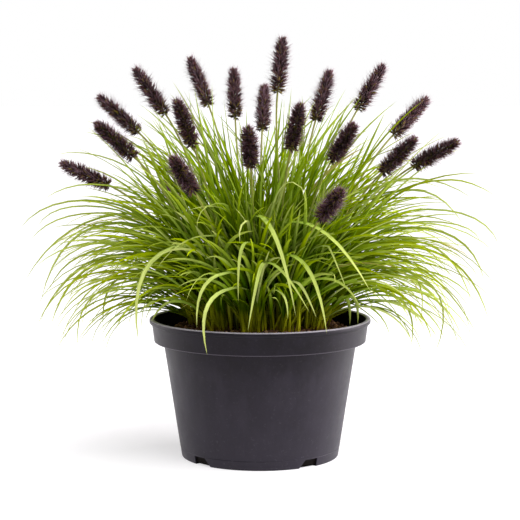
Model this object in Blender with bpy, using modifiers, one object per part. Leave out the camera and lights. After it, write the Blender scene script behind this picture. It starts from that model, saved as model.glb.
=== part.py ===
"""Potted fountain grass: arching leaves and purple-black flower spikes in a round nursery pot.

Metres, with +Z up. The origin is on the pot's axis at floor level, and the front faces -Y.
Azimuths are degrees anticlockwise from +X seen from above, and a lean is degrees from upright.
"""
import math
import random

import bmesh
import bpy
from mathutils import Matrix, Vector
from mathutils.bvhtree import BVHTree

MM = 0.001
GAP = 0.3 * MM  # air left where one piece rests on another

# Pot
POT_HEIGHT = 175.7 * MM
LIP_RADIUS = 140 * MM
LIP_WIDTH = 6.3 * MM
LIP_DEPTH = 6.3 * MM
BAND_TOP_RADIUS = 136.7 * MM
BAND_FOOT_RADIUS = 133.7 * MM
BAND_FOOT_HEIGHT = 146.6 * MM
BAND_ROUNDING = 3.2 * MM
BODY_TOP_RADIUS = 122.2 * MM
FOOT_RADIUS = 99.5 * MM
FOOT_ROUNDING = 1.5 * MM
WALL = 2.2 * MM
POT_SIDES = 36

# Drain notches in the pot's foot: a slanted side faces the front or the back of the pot
NOTCH_AZIMUTHS = (-138, -51, 42, 129)
NOTCH_HEIGHT = 10.4 * MM
NOTCH_WIDTH = 19 * MM
NOTCH_SLANT = 9 * MM
NOTCH_DEPTH = 14 * MM

# Potting mix: radius and height of its mounded surface
MIX_SURFACE = (
    (0 * MM, 166.5 * MM),
    (50 * MM, 166 * MM),
    (88 * MM, 163 * MM),
    (106 * MM, 154 * MM),
)
MIX_EDGE_HEIGHT = 140 * MM
MIX_CLEARANCE = 0.4 * MM

# Flower spikes: place of the foot in mm, lean, azimuth of the lean, and length in mm
SPIKES = (
    (-192, 20, 342, 68, 161, 72),
    (-152, -90, 383, 55, 226, 72),
    (-158, 80, 407, 50, 163, 73),
    (-120, 30, 432, 37, 156, 73),
    (-80, -100, 397, 40, 247, 71),
    (-68, 120, 442, 32, 131, 74),
    (-33, 140, 425, 27, 95, 74),
    (-11, -130, 374, 49, 267, 70),
    (-77, -170, 347, 55, 248, 70),
    (3, 150, 409, 33, 85, 71),
    (22, 0, 460, 18, 73, 72),
    (37, -90, 392, 39, 284, 70),
    (71, 40, 424, 29, 57, 72),
    (86, -110, 380, 51, 296, 69),
    (71, -170, 316, 60, 290, 69),
    (128, 100, 437, 38, 38, 73),
    (171, 50, 405, 50, 33, 72),
    (148, -80, 364, 53, 310, 70),
    (192, -10, 368, 63, 324, 71),
    (-105, 185, 300, 62, 120, 70),
    (100, 190, 295, 62, 62, 70),
)
SPIKE_RADIUS = 8.8 * MM
SPIKE_SIDES = 8
SPIKE_BUMP = 0.08  # share of the radius by which the bristle tufts stand proud
# Height along the spike and radius, as shares of its length and of its widest radius
SPIKE_RINGS = (
    (0.00, 0.28),
    (0.06, 0.80),
    (0.24, 1.00),
    (0.44, 1.00),
    (0.64, 0.93),
    (0.82, 0.78),
    (0.95, 0.45),
)

# Flower stems
STEM_RADIUS = 1.3 * MM
STEM_TOP_SHARE = 0.7
STEM_ROOT_SHARE = 0.30  # how far out a stem is rooted, as a share of how far out its spike is
STEM_ROOT_START = 10 * MM
STEM_LEAN = 12  # at the root
STEM_HANDLES = (0.4, 0.3)  # of its curve, as shares of its straight length
STEM_STATIONS = 5

# Leaf tufts: how many stand on each ring, the ring's radius, and the lean of their stalks
TUFT_RINGS = (
    (1, 0 * MM, 0),
    (5, 37 * MM, 6),
    (10, 74 * MM, 14),
)
TUFT_START = 9  # azimuth at which each ring starts
STALK_RADIUS = 5.0 * MM
STALK_TOP_RADIUS = 2.6 * MM
STALK_HEIGHT = 40 * MM
STALK_SIDES = 6
STALK_CLEARANCE = 0.2 * MM
STALK_PLACE_SPREAD = 1.5 * MM  # standard deviation, as for every spread below
STALK_AZIMUTH_SPREAD = 2

# Leaf blades: least and greatest lean at the root on each ring, and how far they fan out
BLADES_PER_TUFT = 7
BLADE_LEANS = ((1, 12), (7, 30), (20, 66))
BLADE_FANS = (180, 75, 42)
BLADE_ROOTS = ((0, 0.95), (1, 0.35))  # the more upright a blade, the higher up its stalk it starts
BLADE_ROOT_SPREAD = 0.02  # share of the stalk's height
BLADE_ROOT_OFFSET = 1 * MM
BLADE_WIDTH = 7.6 * MM
BLADE_THICKNESS = 1.5 * MM
BLADE_STEPS = 20  # along the arch
# Sections of a blade: steps from the root, and width as a share of its greatest
BLADE_SECTIONS = ((0, 0.45), (6, 1.0), (11, 0.95), (15, 0.75), (18, 0.45))
BLADE_CLEARANCE = 0.9 * MM
BLADE_ROLL = 50  # greatest twist about its own length
# Degrees from the front, how far out the leaves reach there in mm, and their lowest height in mm
CLUMP_REACH = ((0, 215, 192), (45, 235, 180), (80, 298, 122), (120, 294, 130), (180, 262, 160))
# A fountain of leaves: lean at the root, lean at the tip, and length
FOUNTAIN = (
    (0, 14, 295 * MM),
    (10, 40, 305 * MM),
    (22, 95, 340 * MM),
    (35, 142, 390 * MM),
    (50, 160, 370 * MM),
    (70, 150, 270 * MM),
)
AZIMUTH_SPREAD = 5
LEAN_SPREAD = 2.5
TIP_LEAN_SPREAD = 8
DRIFT_SPREAD = 8  # of the azimuth, from root to tip
LENGTH_SHARES = (0.88, 1.04)
BEND_POWERS = (1.2, 1.8)  # the higher, the nearer to the tip a blade bends

# Search for room: each further try may stray more and grow a shorter blade
TRIES = 600
STRAY_PER_STALK_TRY = 1 / 20
STRAY_PER_BLADE_TRY = 1 / 60
TRIM_PER_BLADE_TRY = 1 / 120
SHORTEST = 0.5  # share of its length that a blade keeps

# Base colours of the Principled materials, linear RGB, with roughness
COLOURS = {
    "pot plastic": ((0.040, 0.036, 0.050), 0.55),
    "potting mix": ((0.030, 0.018, 0.012), 0.95),
    "flower stem": ((0.190, 0.230, 0.040), 0.60),
    "flower spike": ((0.035, 0.016, 0.020), 0.85),
    "leaf": ((0.130, 0.230, 0.015), 0.50),
}

chance = random.Random(41)


def clear_scene():
    """Remove whatever the scene holds."""
    for thing in list(bpy.data.objects):
        bpy.data.objects.remove(thing, do_unlink=True)


def new_collection(name):
    """Make a collection in the scene."""
    collection = bpy.data.collections.new(name)
    bpy.context.scene.collection.children.link(collection)
    return collection


def new_material(name):
    """Make the Principled material of that name."""
    colour, roughness = COLOURS[name]
    material = bpy.data.materials.new(name)
    material.use_nodes = True
    shader = material.node_tree.nodes["Principled BSDF"]
    shader.inputs["Base Color"].default_value = (*colour, 1.0)
    shader.inputs["Roughness"].default_value = roughness
    shader.inputs["Metallic"].default_value = 0.0
    material.diffuse_color = (*colour, 1.0)
    return material


def heading(azimuth, lean):
    """Unit vector that leans from upright towards an azimuth."""
    across = math.sin(math.radians(lean))
    return Vector((
        across * math.cos(math.radians(azimuth)),
        across * math.sin(math.radians(azimuth)),
        math.cos(math.radians(lean)),
    ))


def between(x, rows, column=1):
    """Read a column of a table of rows at x, on straight lines between the rows."""
    for low, high in zip(rows, rows[1:]):
        if x <= high[0]:
            share = max(0.0, (x - low[0]) / (high[0] - low[0]))
            return low[column] + share * (high[column] - low[column])
    return rows[-1][column]


def add_part(name, data, material, location=(0, 0, 0)):
    """Put a mesh or a curve in the object's collection as a sub-part."""
    part = bpy.data.objects.new(name, data)
    part.location = location
    part.parent = base
    data.materials.append(material)
    parts.objects.link(part)
    return part


def add_turned(name, profile, material):
    """Turn a profile of radii and heights about the pot's axis."""
    mesh = bpy.data.meshes.new(name)
    edges = [(i, i + 1) for i in range(len(profile) - 1)]
    mesh.from_pydata([(radius, 0, height) for radius, height in profile], edges, [])
    part = add_part(name, mesh, material)
    screw = part.modifiers.new("turn", "SCREW")
    screw.steps = POT_SIDES
    screw.render_steps = POT_SIDES
    screw.use_merge_vertices = True
    screw.merge_threshold = 0.01 * MM
    return part


def wall_radius(height):
    """Inner radius of the pot's body at a height."""
    share = height / BAND_FOOT_HEIGHT
    return FOOT_RADIUS - WALL + share * (BODY_TOP_RADIUS - FOOT_RADIUS)


def pot_profile():
    """Pot in section: up the inside, over the rolled lip and down the outside."""
    lip_inside = LIP_RADIUS - LIP_WIDTH
    ledge = BAND_FOOT_HEIGHT + WALL
    slope = (BAND_TOP_RADIUS - BAND_FOOT_RADIUS) / (POT_HEIGHT - BAND_FOOT_HEIGHT)
    round_top = BAND_FOOT_HEIGHT + BAND_ROUNDING
    return [
        (0, WALL),
        (wall_radius(WALL), WALL),
        (wall_radius(ledge), ledge),
        (BAND_FOOT_RADIUS - WALL, ledge),
        (lip_inside, POT_HEIGHT - LIP_DEPTH / 4),
        (lip_inside + LIP_WIDTH / 4, POT_HEIGHT),
        (LIP_RADIUS - LIP_WIDTH / 4, POT_HEIGHT),
        (LIP_RADIUS, POT_HEIGHT - LIP_DEPTH / 4),
        (LIP_RADIUS, POT_HEIGHT - LIP_DEPTH * 3 / 4),
        (BAND_TOP_RADIUS, POT_HEIGHT - LIP_DEPTH),
        (BAND_FOOT_RADIUS + slope * BAND_ROUNDING, round_top),
        (BAND_FOOT_RADIUS - BAND_ROUNDING, BAND_FOOT_HEIGHT),
        (BODY_TOP_RADIUS, BAND_FOOT_HEIGHT),
        (FOOT_RADIUS, FOOT_ROUNDING),
        (FOOT_RADIUS - FOOT_ROUNDING, 0),
        (0, 0),
    ]


def add_notch_cutter(azimuth):
    """Box that cuts one drain notch, its slanted side towards the front or the back."""
    slant_side = 1 if math.cos(math.radians(azimuth)) * math.sin(math.radians(azimuth)) > 0 else -1
    work = bmesh.new()
    bmesh.ops.create_cube(work, size=1)
    for corner in work.verts:
        low = corner.co.z < 0
        slanted = corner.co.y * slant_side > 0
        corner.co.x *= NOTCH_DEPTH
        corner.co.y *= NOTCH_WIDTH
        corner.co.z = -1 * MM if low else NOTCH_HEIGHT
        if low and slanted:
            corner.co.y += slant_side * NOTCH_SLANT * (1 + MM / NOTCH_HEIGHT)
    mesh = bpy.data.meshes.new("notch_cutter")
    work.to_mesh(mesh)
    work.free()
    cutter = bpy.data.objects.new("notch_cutter", mesh)
    cutter.location = FOOT_RADIUS * heading(azimuth, 90)
    cutter.rotation_euler = (0, 0, math.radians(azimuth))
    cutter.hide_render = True
    cutter.display_type = "WIRE"
    cutters.objects.link(cutter)
    return cutter


def add_pot():
    """Moulded pot, with its drain notches cut through the foot."""
    pot = add_turned("pot", pot_profile(), new_material("pot plastic"))
    for azimuth in NOTCH_AZIMUTHS:
        cut = pot.modifiers.new("drain notch", "BOOLEAN")
        cut.operation = "DIFFERENCE"
        cut.solver = "EXACT"
        cut.object = add_notch_cutter(azimuth)
    return pot


def add_potting_mix():
    """Potting mix, mounded at the crown and low at the wall."""
    floor = WALL + MIX_CLEARANCE
    profile = list(MIX_SURFACE) + [
        (wall_radius(MIX_EDGE_HEIGHT) - MIX_CLEARANCE, MIX_EDGE_HEIGHT),
        (wall_radius(floor) - MIX_CLEARANCE, floor),
        (0, floor),
    ]
    return add_turned("potting_mix", profile, new_material("potting mix"))


def spike_mesh(name, length):
    """Bottlebrush along +Z, with staggered bumps for its bristle tufts."""
    poles = len(SPIKE_RINGS) + 1
    work = bmesh.new()
    bmesh.ops.create_uvsphere(work, u_segments=SPIKE_SIDES, v_segments=poles, radius=1)
    for corner in work.verts:
        polar = math.acos(max(-1.0, min(1.0, -corner.co.z)))
        ring = round(polar / math.pi * poles) - 1
        side = round(math.atan2(corner.co.y, corner.co.x) / math.tau * SPIKE_SIDES)
        if ring < 0 or ring == len(SPIKE_RINGS):
            corner.co = (0, 0, length * (ring > 0))
            continue
        height, share = SPIKE_RINGS[ring]
        bump = SPIKE_BUMP * (-1) ** (ring + side) * (ring > 0)
        place = SPIKE_RADIUS * share * (1 + bump) * heading(360 * side / SPIKE_SIDES, 90)
        corner.co = (place.x, place.y, length * height)
    mesh = bpy.data.meshes.new(name)
    work.to_mesh(mesh)
    work.free()
    return mesh


def root_place(azimuth, radius, footing):
    """Point on the potting mix under a piece whose foot has that radius."""
    height = between(max(0.0, radius - footing), MIX_SURFACE) + GAP
    return radius * heading(azimuth, 90) + Vector((0, 0, height))


def add_stem(name, foot, direction):
    """Culm from the crown to the foot of its spike, on a cubic curve."""
    azimuth = math.degrees(math.atan2(foot.y, foot.x))
    out = STEM_ROOT_START + STEM_ROOT_SHARE * math.hypot(foot.x, foot.y)
    start = root_place(azimuth, out, STEM_RADIUS)
    end = foot - GAP * direction
    reach = (end - start).length
    near = start + STEM_HANDLES[0] * reach * heading(azimuth, STEM_LEAN)
    far = end - STEM_HANDLES[1] * reach * direction
    curve = bpy.data.curves.new(name, "CURVE")
    curve.dimensions = "3D"
    curve.bevel_depth = STEM_RADIUS
    curve.bevel_resolution = 1
    curve.use_fill_caps = True
    line = curve.splines.new("POLY")
    line.points.add(STEM_STATIONS - 1)
    for station, point in enumerate(line.points):
        t = station / (STEM_STATIONS - 1)
        place = ((1 - t) ** 3 * start + 3 * t * (1 - t) ** 2 * near
                 + 3 * t * t * (1 - t) * far + t ** 3 * end)
        point.co = (*(place - start), 1)
        point.radius = 1 + t * (STEM_TOP_SHARE - 1)
    return add_part(name, curve, stem_material, start)


def add_flowers():
    """Every flower spike, each on its stem."""
    material = new_material("flower spike")
    for number, (x, y, z, lean, azimuth, length) in enumerate(SPIKES, start=1):
        foot = Vector((x, y, z)) * MM
        direction = heading(azimuth, lean)
        name = f"flower_spike_{number:02d}"
        spike = add_part(name, spike_mesh(name, length * MM), material, foot)
        spike.rotation_euler = direction.to_track_quat("Z", "Y").to_euler()
        add_stem(f"flower_stem_{number:02d}", foot, direction)


class Standing:
    """The surfaces that stand already, so that nothing is grown through them."""

    def __init__(self):
        self.trees = []

    def add(self, work, owner):
        """Note a solid and the piece that it belongs to."""
        self.trees.append((owner, BVHTree.FromBMesh(work)))

    def add_part(self, part):
        """Note a finished sub-part as it stands."""
        shape = part.evaluated_get(bpy.context.evaluated_depsgraph_get())
        work = bmesh.new()
        work.from_mesh(shape.to_mesh())
        shape.to_mesh_clear()
        work.transform(part.matrix_world)
        self.add(work, part.name)
        work.free()

    def leaves_room(self, work, owner):
        """Whether a solid misses every piece other than its own."""
        tree = BVHTree.FromBMesh(work)
        return not any(other != owner and tree.overlap(taken) for other, taken in self.trees)


class Tuft:
    """One shoot of the clump: a sheathed stalk and the blades that arch out of it."""

    def __init__(self, name, ring, azimuth):
        self.name = name
        self.ring = ring
        self.blades = bmesh.new()
        self.place_stalk(azimuth)

    def place_stalk(self, azimuth):
        """Find room for the stalk near its place on the ring."""
        radius, lean = TUFT_RINGS[self.ring][1:]
        for attempt in range(TRIES):
            stray = 1 + attempt * STRAY_PER_STALK_TRY
            self.azimuth = azimuth + chance.gauss(0, STALK_AZIMUTH_SPREAD) * stray
            out = abs(radius + chance.gauss(0, STALK_PLACE_SPREAD) * stray)
            self.foot = root_place(self.azimuth, out, STALK_RADIUS)
            self.way = heading(self.azimuth, lean)
            spacious = self.stalk(STALK_CLEARANCE)
            if standing.leaves_room(spacious, self.name):
                standing.add(spacious, self.name)
                return
        raise RuntimeError(f"no room for the stalk of {self.name}")

    def stalk(self, spare=0.0):
        """Tapered prism from the crown up, and as much larger as is asked."""
        work = bmesh.new()
        bmesh.ops.create_cone(
            work, cap_ends=True, segments=STALK_SIDES, depth=STALK_HEIGHT,
            radius1=STALK_RADIUS + spare, radius2=STALK_TOP_RADIUS + spare)
        turn = self.way.to_track_quat("Z", "Y").to_matrix().to_4x4()
        work.transform(Matrix.Translation(self.foot + self.way * STALK_HEIGHT / 2) @ turn)
        return work

    def grow_blade(self, number):
        """Find a blade of the fountain that misses what stands already, and keep it."""
        share = (number + 0.5) / BLADES_PER_TUFT
        fan = (2 * share - 1) * BLADE_FANS[self.ring]
        low, high = BLADE_LEANS[self.ring]
        order = (number * 3 % BLADES_PER_TUFT + 0.5) / BLADES_PER_TUFT
        for attempt in range(TRIES):
            stray = 1 + attempt * STRAY_PER_BLADE_TRY
            azimuth = self.azimuth + fan + chance.gauss(0, AZIMUTH_SPREAD) * stray
            lean = low + order * (high - low) + chance.gauss(0, LEAN_SPREAD) * stray
            lean = min(FOUNTAIN[-1][0], max(FOUNTAIN[0][0] + 1, lean))
            height = between(order, BLADE_ROOTS) + chance.gauss(0, BLADE_ROOT_SPREAD)
            start = self.foot + self.way * STALK_HEIGHT * height
            start += heading(azimuth, 90) * BLADE_ROOT_OFFSET
            trim = max(SHORTEST, 1 - attempt * TRIM_PER_BLADE_TRY)
            blade = Blade(start, azimuth, lean, trim)
            if not blade.within_reach():
                continue
            if standing.leaves_room(blade.solid(BLADE_CLEARANCE), self.name):
                solid = blade.solid()
                standing.add(solid, self.name)
                mesh = bpy.data.meshes.new(self.name)
                solid.to_mesh(mesh)
                self.blades.from_mesh(mesh)
                bpy.data.meshes.remove(mesh)
                return
        raise RuntimeError(f"no room for a blade of {self.name}")

    def add(self, material):
        """Join the stalk and its blades in one sub-part."""
        mesh = bpy.data.meshes.new(self.name)
        self.stalk().to_mesh(mesh)
        tuft = add_part(self.name, mesh, material)
        blades = bpy.data.meshes.new(self.name + "_blades")
        self.blades.to_mesh(blades)
        joined = bpy.data.objects.new(self.name + "_blades", blades)
        joined.hide_render = True
        joined.display_type = "WIRE"
        cutters.objects.link(joined)
        union = tuft.modifiers.new("blades", "BOOLEAN")
        union.operation = "UNION"
        union.solver = "EXACT"
        union.use_self = True
        union.object = joined


class Blade:
    """A leaf blade that leans over more and more from root to tip."""

    def __init__(self, start, azimuth, lean, trim):
        tip_lean = between(lean, FOUNTAIN) + chance.gauss(0, TIP_LEAN_SPREAD)
        length = between(lean, FOUNTAIN, 2) * chance.uniform(*LENGTH_SHARES) * trim
        drift = chance.gauss(0, DRIFT_SPREAD)
        power = chance.uniform(*BEND_POWERS)
        self.side = heading(azimuth + drift / 2 + 90, 90)
        self.roll = math.radians(chance.uniform(-BLADE_ROLL, BLADE_ROLL))
        self.path = [start]
        for step in range(BLADE_STEPS):
            share = (step + 0.5) / BLADE_STEPS
            now = lean + (tip_lean - lean) * share ** power
            forward = heading(azimuth + drift * share, now) * length / BLADE_STEPS
            self.path.append(self.path[-1] + forward)

    def within_reach(self):
        """Whether the blade stays as near the pot, and as high, as the clump's leaves do."""
        for place in self.path:
            azimuth = math.degrees(math.atan2(place.y, place.x))
            from_front = abs((azimuth + 270) % 360 - 180)
            out = math.hypot(place.x, place.y)
            if out > between(from_front, CLUMP_REACH) * MM:
                return False
            if place.z < between(from_front, CLUMP_REACH, 2) * MM and out > LIP_RADIUS:
                return False
        return True

    def solid(self, spare=0.0):
        """Loft of three-sided sections, flat above and keeled below, closed at the tip."""
        work = bmesh.new()
        last = None
        for step, width_share in BLADE_SECTIONS:
            place = self.path[step]
            ahead = self.path[step + 1] - self.path[max(0, step - 1)]
            roll = Matrix.Rotation(self.roll, 3, ahead.normalized())
            side = roll @ self.side
            up = ahead.cross(side).normalized()
            half = BLADE_WIDTH / 2 * width_share + spare
            deep = BLADE_THICKNESS * (1 - step / BLADE_STEPS / 2) + 2 * spare
            top = place + up * deep / 3
            corners = (top + side * half, top - side * half, top - up * deep)
            ring = [work.verts.new(corner) for corner in corners]
            if last is None:
                work.faces.new(ring)
            else:
                for edge in range(3):
                    after = (edge + 1) % 3
                    work.faces.new((last[edge], last[after], ring[after], ring[edge]))
            last = ring
        tip = work.verts.new(self.path[-1])
        for edge in range(3):
            work.faces.new((last[edge], last[(edge + 1) % 3], tip))
        bmesh.ops.recalc_face_normals(work, faces=work.faces)
        return work


def add_leaves():
    """Stand every stalk first, then let all the tufts grow their blades in turn."""
    tufts = []
    for ring, (count, _, _) in enumerate(TUFT_RINGS):
        for place in range(count):
            name = f"leaf_tuft_{len(tufts) + 1:02d}"
            tufts.append(Tuft(name, ring, TUFT_START + 360 * (place + ring / 2) / count))
    for number in range(BLADES_PER_TUFT):
        for tuft in tufts:
            tuft.grow_blade(number)
    material = new_material("leaf")
    for tuft in tufts:
        tuft.add(material)


clear_scene()
parts = new_collection("potted_fountain_grass")
cutters = new_collection("cutters")
base = bpy.data.objects.new("potted_fountain_grass_frame", None)
parts.objects.link(base)
stem_material = new_material("flower stem")
add_pot()
add_potting_mix()
add_flowers()
bpy.context.view_layer.update()
standing = Standing()
for built in list(parts.objects):
    if built.type != "EMPTY":
        standing.add_part(built)
add_leaves()
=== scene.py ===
"""Looks of the potted fountain grass clump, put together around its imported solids.

Metres, with +Z up. The origin is on the pot's axis at floor level, and the front faces -Y.
Azimuths are degrees anticlockwise from +X seen from above, and a lean is degrees from upright.
"""
import math
import random

import bmesh
import bpy
from mathutils import Matrix, Vector, noise
from mathutils.geometry import intersect_line_line_2d


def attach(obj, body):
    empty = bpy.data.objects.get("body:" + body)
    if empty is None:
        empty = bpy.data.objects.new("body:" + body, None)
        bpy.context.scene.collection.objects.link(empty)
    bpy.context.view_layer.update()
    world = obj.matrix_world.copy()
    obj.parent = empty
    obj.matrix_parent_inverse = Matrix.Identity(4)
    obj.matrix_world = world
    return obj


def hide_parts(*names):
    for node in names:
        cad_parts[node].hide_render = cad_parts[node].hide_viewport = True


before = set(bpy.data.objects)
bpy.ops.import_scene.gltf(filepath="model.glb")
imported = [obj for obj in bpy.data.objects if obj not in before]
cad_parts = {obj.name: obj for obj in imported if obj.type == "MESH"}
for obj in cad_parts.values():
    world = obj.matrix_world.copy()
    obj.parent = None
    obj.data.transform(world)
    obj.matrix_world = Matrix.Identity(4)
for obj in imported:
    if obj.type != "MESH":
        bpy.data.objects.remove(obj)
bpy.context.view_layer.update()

# Nursery pot
# One injection moulding in charcoal polypropylene. A plain wall tapers to the foot, which
# has four drain notches and a fine seam; a deep skirt with a rolled lip stiffens the rim.

MM = 0.001
POT_TURNS = 192
# Radius, height and rounding in mm of each corner of the pot's section: up the outside from
# the middle of the foot, over the lip and down the inside
POT_CORNERS = (
    (0, 0, 0),
    (99.5, 0, 1.5),
    (101.2, 11.4, 0),
    (100.9, 11.8, 0),
    (101.5, 12.4, 0),
    (122.2, 146.6, 0.6),
    (133.0, 146.6, 0.5),
    (133.9, 147.3, 0.4),
    (134.1, 149.6, 0.6),
    (136.6, 168.9, 1.2),
    (139.7, 170.2, 1.2),
    (140.0, 175.7, 2.6),
    (133.7, 175.7, 2.4),
    (131.5, 148.8, 0.8),
    (120.3, 148.8, 1.2),
    (97.6, 2.2, 1.5),
    (0, 2.2, 0),
)
ROUNDING_STEPS = 4
LIP_TOP = 175.7 * MM
SKIRT_FOOT = 146.6 * MM
SHARPEST_SMOOTH = math.radians(40)  # a sharper edge of the pot isn't smoothed
# Drain notches: a slanted side faces the front or the back of the pot
NOTCH_AZIMUTHS = (-138, -51, 42, 129)
NOTCH_HEIGHT = 10.4 * MM
NOTCH_WIDTH = 19 * MM
NOTCH_SLANT = 9 * MM
NOTCH_DEPTH = 14 * MM
NOTCH_RADIUS = 99.5 * MM


def paint(red, green, blue):
    """A shader colour from its sRGB levels of 0 to 255."""
    levels = [level / 255 for level in (red, green, blue)]
    linear = [x / 12.92 if x < 0.0405 else ((x + 0.055) / 1.055) ** 2.4 for x in levels]
    return (*linear, 1.0)


class Wire:
    """A socket of a finish that takes part in sums like a number."""

    def __init__(self, finish, socket):
        self.finish = finish
        self.socket = socket

    def sum(self, operation, first, second):
        return self.finish.node("Math", {"operation": operation}, {0: first, 1: second})

    def __add__(self, other):
        return self.sum("ADD", self, other)

    def __rsub__(self, other):
        return self.sum("SUBTRACT", other, self)

    def __mul__(self, other):
        return self.sum("MULTIPLY", self, other)

    __rmul__ = __mul__


class Finish:
    """A material, and the nodes that its formulas ask for."""

    def __init__(self, name):
        self.material = bpy.data.materials.new(name)
        self.material.use_nodes = True
        self.tree = self.material.node_tree
        self.tree.nodes.clear()

    def node(self, kind, settings, sockets, output=0):
        """Add a shader node, make its settings, then fill or link its sockets."""
        made = self.tree.nodes.new("ShaderNode" + kind)
        for name, value in settings.items():
            if name == "stops":
                self.set_stops(made.color_ramp.elements, value)
            else:
                setattr(made, name, value)
        for name, value in sockets.items():
            if isinstance(value, Wire):
                self.tree.links.new(value.socket, made.inputs[name])
            else:
                made.inputs[name].default_value = value
        return Wire(self, made.outputs[output]) if made.outputs else None

    def set_stops(self, stops, wanted):
        """Give a ramp its stops, each a place from 0 to 1 and a colour."""
        for place, _ in wanted[2:]:
            stops.new(place)
        for stop, (place, colour) in zip(stops, sorted(wanted)):
            stop.position = place
            stop.color = colour

    def ramp(self, amount, *stops):
        """Read a ramp of colours or greys at an amount."""
        return self.node("ValToRGB", {"stops": stops}, {0: amount})

    def between(self, amount, low, high, to_low=0.0, to_high=1.0):
        """Map an amount from one range to another, and hold it there."""
        sockets = {0: amount, 1: low, 2: high, 3: to_low, 4: to_high}
        return self.node("MapRange", {"clamp": True}, sockets)

    def mixed(self, share, first, second):
        """Mix two colours by a share of the second."""
        return self.node("Mix", {"data_type": "RGBA"}, {0: share, 6: first, 7: second}, 2)

    def painted(self, colour, *coats):
        """Lay coats over a colour, each with a paint and the range that its cover follows."""
        for over, *reach in coats:
            colour = self.mixed(self.between(*reach), colour, over)
        return colour

    def places(self):
        """The object's own coordinates, in metres."""
        return self.node("TexCoord", {}, {}, 3)

    def stretched(self, *scales):
        """The object's own coordinates, each times a scale."""
        return self.node("VectorMath", {"operation": "MULTIPLY"}, {0: self.places(), 1: scales})

    def height(self):
        """Height above the floor, in metres."""
        return self.node("SeparateXYZ", {}, {0: self.places()}, 2)

    def radius(self):
        """Distance from the pot's axis, in metres."""
        return self.node("VectorMath", {"operation": "LENGTH"}, {0: self.stretched(1, 1, 0)}, 1)

    def number(self, name):
        """A number that the points of the piece carry."""
        return self.node("Attribute", {"attribute_name": name}, {}, 2)

    def clouds(self, scale, detail=2.0, roughness=0.5, places=None):
        """Soft noise about 0.5, with so many blotches to a metre."""
        places = places or self.places()
        sockets = {"Vector": places, "Scale": scale, "Detail": detail, "Roughness": roughness}
        return self.node("TexNoise", {}, sockets)

    def bump(self, height, depth, strength=1.0):
        """A normal from a height of 0 to 1 that stands for a depth in metres."""
        sockets = {"Height": height, "Distance": depth, "Strength": strength}
        return self.node("Bump", {}, sockets)

    def coat(self, **sockets):
        """A Principled shader."""
        named = {name.replace("_", " "): value for name, value in sockets.items()}
        return self.node("BsdfPrincipled", {}, named)

    def cover(self, over=None, share=0.0, **sockets):
        """Close the material with its Principled shader, under a share of another coat."""
        shader = self.coat(**sockets)
        if over:
            shader = self.node("MixShader", {}, {0: share, 1: shader, 2: over})
        self.node("OutputMaterial", {}, {"Surface": shader})


def heading(azimuth, lean):
    """Unit vector that leans from upright towards an azimuth."""
    out = math.sin(math.radians(lean))
    turn = math.radians(azimuth)
    return Vector((out * math.cos(turn), out * math.sin(turn), math.cos(math.radians(lean))))


def curve(start, handle, end, t):
    """Point at a share of a curve that runs from its start to its end, drawn to its handle."""
    return (1 - t) ** 2 * start + 2 * t * (1 - t) * handle + t * t * end


def rounded(corners):
    """A line of points through rounded corners, as radii and heights in metres."""
    points = []
    for number, (radius, height, rounding) in enumerate(corners):
        corner = Vector((radius, 0, height))
        if not rounding:
            points.append(corner)
            continue
        ends = []
        for end_radius, end_height, _ in (corners[number - 1], corners[number + 1]):
            way = Vector((end_radius, 0, end_height)) - corner
            ends.append(corner + way.normalized() * min(rounding, way.length / 2))
        for step in range(ROUNDING_STEPS + 1):
            points.append(curve(ends[0], corner, ends[1], step / ROUNDING_STEPS))
    return [point * MM for point in points]


def add_object(name, data):
    """Put an object in the scene."""
    made = bpy.data.objects.new(name, data)
    bpy.context.scene.collection.objects.link(made)
    return made


def add_turned(name, points, turns):
    """Turn a line of points about the pot's axis into a closed mesh."""
    mesh = bpy.data.meshes.new(name)
    mesh.from_pydata(points, [(i, i + 1) for i in range(len(points) - 1)], [])
    piece = add_object(name, mesh)
    turn = piece.modifiers.new("turn", "SCREW")
    turn.steps = turns
    turn.render_steps = turns
    turn.use_merge_vertices = True
    turn.merge_threshold = 0.01 * MM
    return piece


def add_notch_cutter(azimuth):
    """Box that cuts one drain notch."""
    way = 1 if math.cos(math.radians(azimuth)) * math.sin(math.radians(azimuth)) > 0 else -1
    work = bmesh.new()
    bmesh.ops.create_cube(work, size=1)
    for corner in work.verts:
        low = corner.co.z < 0
        slanted = corner.co.y * way > 0
        corner.co.x *= NOTCH_DEPTH
        corner.co.y *= NOTCH_WIDTH
        corner.co.z = -1 * MM if low else NOTCH_HEIGHT
        if low and slanted:
            corner.co.y += way * NOTCH_SLANT
    mesh = bpy.data.meshes.new("notch_cutter")
    work.to_mesh(mesh)
    work.free()
    cutter = add_object("notch_cutter", mesh)
    cutter.location = NOTCH_RADIUS * heading(azimuth, 90)
    cutter.rotation_euler = (0, 0, math.radians(azimuth))
    return cutter


def settle(piece):
    """Turn a piece with its modifiers into a plain mesh."""
    graph = bpy.context.evaluated_depsgraph_get()
    mesh = bpy.data.meshes.new_from_object(piece.evaluated_get(graph))
    piece.modifiers.clear()
    piece.data = mesh


pot = add_turned("nursery_pot", rounded(POT_CORNERS), POT_TURNS)
cutters = [add_notch_cutter(azimuth) for azimuth in NOTCH_AZIMUTHS]
for cutter in cutters:
    cut = pot.modifiers.new("drain notch", "BOOLEAN")
    cut.operation = "DIFFERENCE"
    cut.solver = "EXACT"
    cut.object = cutter
settle(pot)
for cutter in cutters:
    bpy.data.objects.remove(cutter)
pot.data.shade_smooth()
pot.data.set_sharp_from_angle(angle=SHARPEST_SMOOTH)
pot.modifiers.new("flat walls", "WEIGHTED_NORMAL").keep_sharp = True
settle(pot)

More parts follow.
